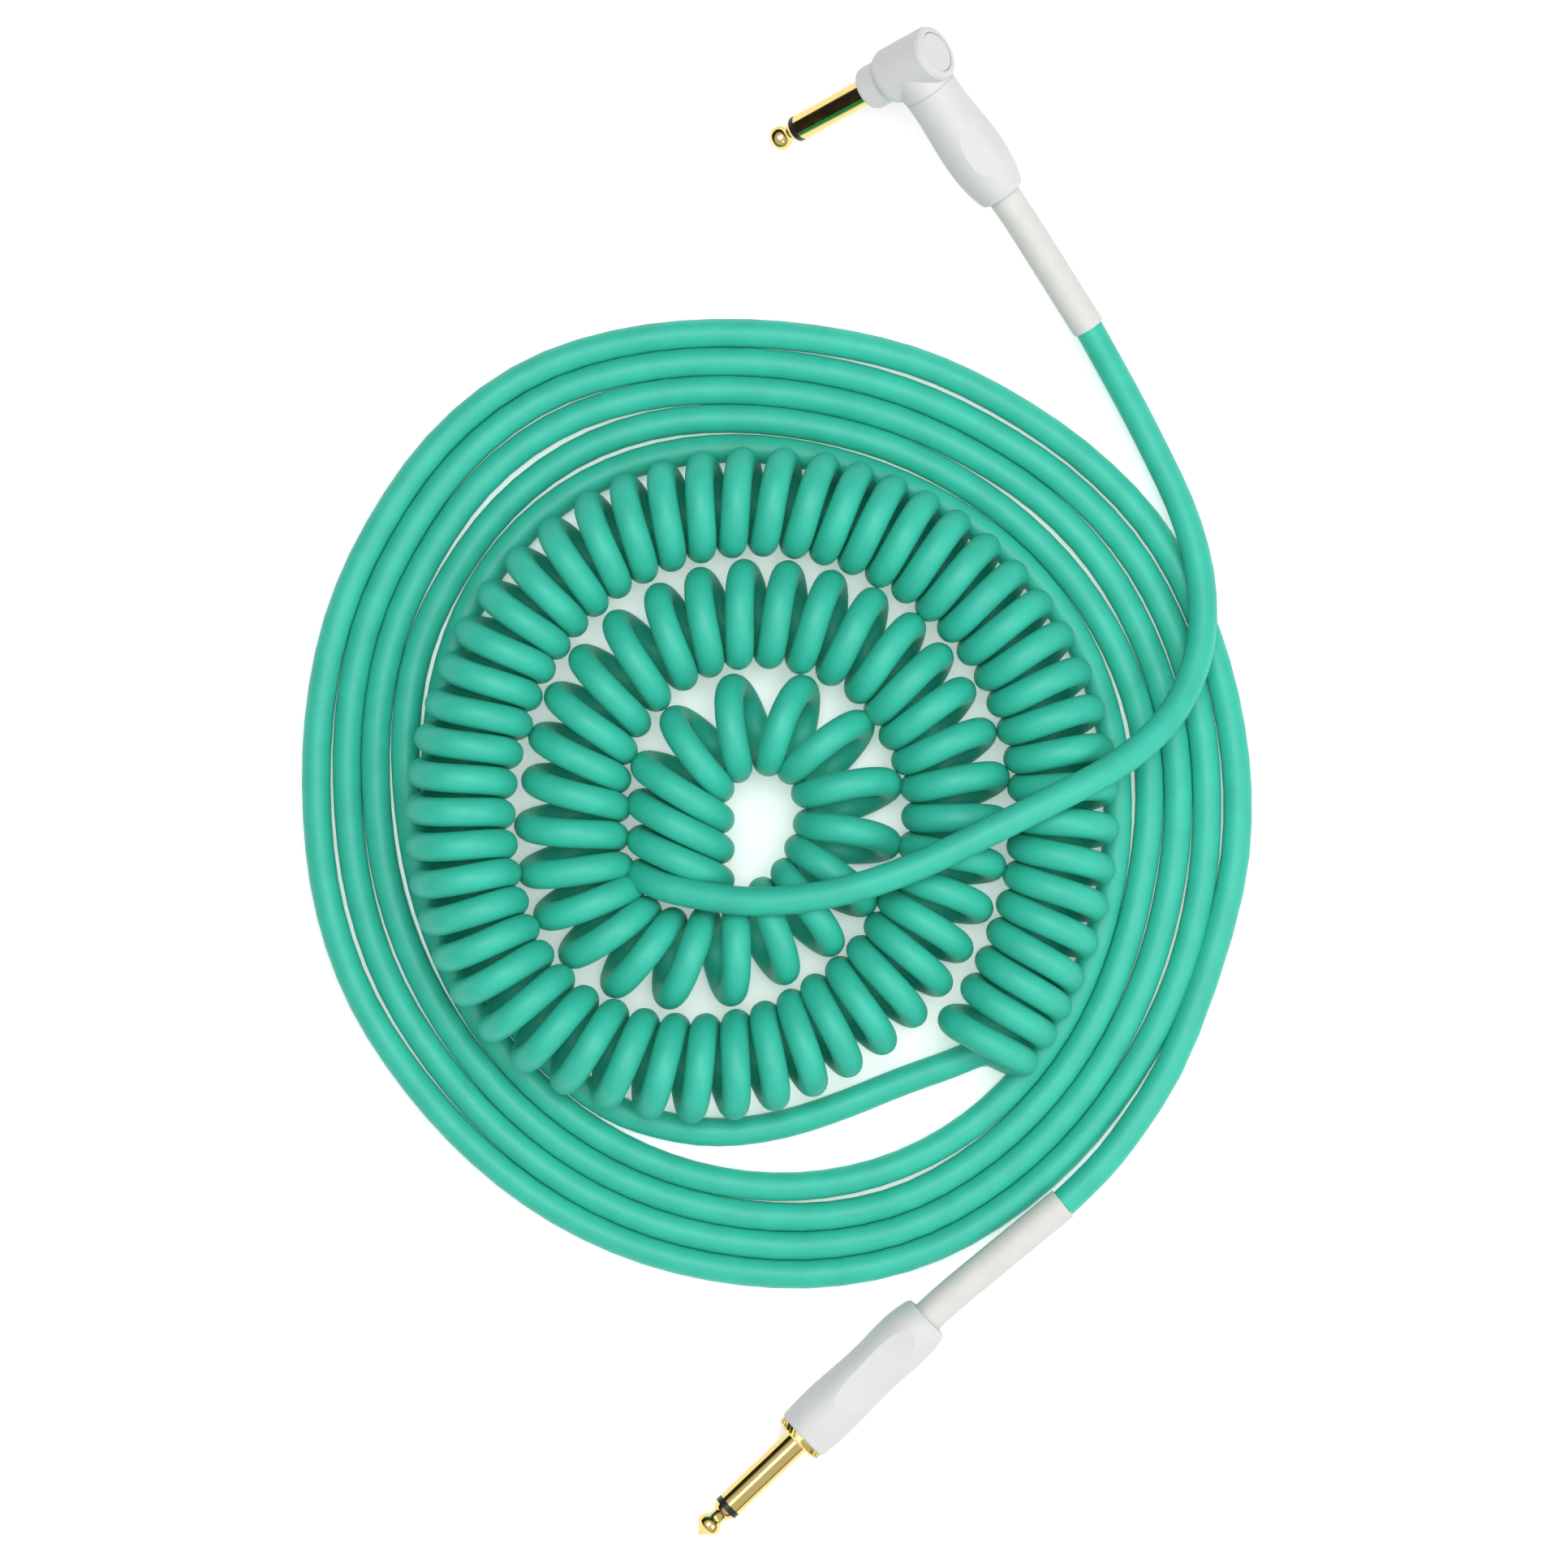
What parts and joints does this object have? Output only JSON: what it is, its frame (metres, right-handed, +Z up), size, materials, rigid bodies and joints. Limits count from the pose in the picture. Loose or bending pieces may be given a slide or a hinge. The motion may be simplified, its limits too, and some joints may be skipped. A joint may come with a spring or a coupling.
{
  "type": "instrument cable",
  "caption": "Half-coiled instrument lead: straight and right-angle 6.35 mm phone plugs, a curly section wound in a spiral and a loose flat coil of straight cable.",
  "frame": {"origin": "bottom centre of the box round the two plugs, on the surface that the lead lies on", "axes": "+Z up; +Y from the straight plug's end of the lead towards the right-angle plug"},
  "size_m": [0.2262, 0.3538, 0.0386],
  "materials": {
    "jacket": "satin, soft PVC, seafoam green",
    "shell_white": "soft-touch matt",
    "sleeve_white": "matt heat-shrink",
    "gold": "polished gold plate",
    "insulator_black": "moulded, satin",
    "liner": "translucent tube",
    "fibre": "pressed fibre washer",
    "tinned": "tinned brass",
    "copper": "bare copper strands",
    "dielectric": "solid polyethylene"
  },
  "bodies": {
    "root": {"angle_cable_end": "jacket", "angle_core_wire": "copper", "angle_dielectric": "dielectric", "angle_ground_lug": "tinned", "angle_head_housing": "shell_white", "angle_rear_cap": "shell_white", "angle_rear_insulator": "fibre", "angle_shield_pigtail": "copper", "angle_sleeve_contact": "gold", "angle_strain_relief": "sleeve_white", "angle_threaded_bush": "tinned", "angle_tip_contact": "gold", "angle_tip_insulator": "insulator_black", "angle_tip_link": "tinned", "cord_coil": "jacket", "cord_curly": "jacket", "cord_lead": "jacket", "cord_link": "jacket", "cord_tail": "jacket", "straight_cable_end": "jacket", "straight_core_wire": "copper", "straight_dielectric": "dielectric", "straight_ground_lug": "tinned", "straight_knurled_collar": "gold", "straight_rear_insulator": "fibre", "straight_shield_pigtail": "copper", "straight_sleeve_contact": "gold", "straight_strain_relief": "sleeve_white", "straight_tip_contact": "gold", "straight_tip_insulator": "insulator_black", "straight_tip_lug": "tinned"},
    "straight_liner": {"straight_liner": "liner"},
    "straight_barrel": {"straight_barrel": "shell_white"},
    "angle_liner": {"angle_liner": "liner"},
    "angle_barrel": {"angle_barrel": "shell_white"}
  },
  "joints": [
    {"name": "straight_barrel_travel", "type": "slide", "parent": "root", "child": "straight_liner", "axis": [0.7254, 0.6884, 0], "range_m": [0, 0.00701]},
    {"name": "straight_barrel_turn", "type": "hinge", "parent": "straight_liner", "child": "straight_barrel", "pos_m": [-0.02299, -0.15324, 0.0071], "axis": [0.7254, 0.6884, 0], "range_deg": [0, 2520]},
    {"name": "angle_barrel_travel", "type": "slide", "parent": "root", "child": "angle_liner", "axis": [0.5742, -0.776, -0.2611], "range_m": [0, 0.00701]},
    {"name": "angle_barrel_turn", "type": "hinge", "parent": "angle_liner", "child": "angle_barrel", "pos_m": [0.00646, 0.16292, 0.02717], "axis": [0.5742, -0.776, -0.2611], "range_deg": [0, 2520]}
  ],
  "couplings": [
    {"joint": "straight_barrel_travel", "follows": "straight_barrel_turn", "m_per_rad": 0.00015915},
    {"joint": "angle_barrel_travel", "follows": "angle_barrel_turn", "m_per_rad": 0.00015915}
  ]
}
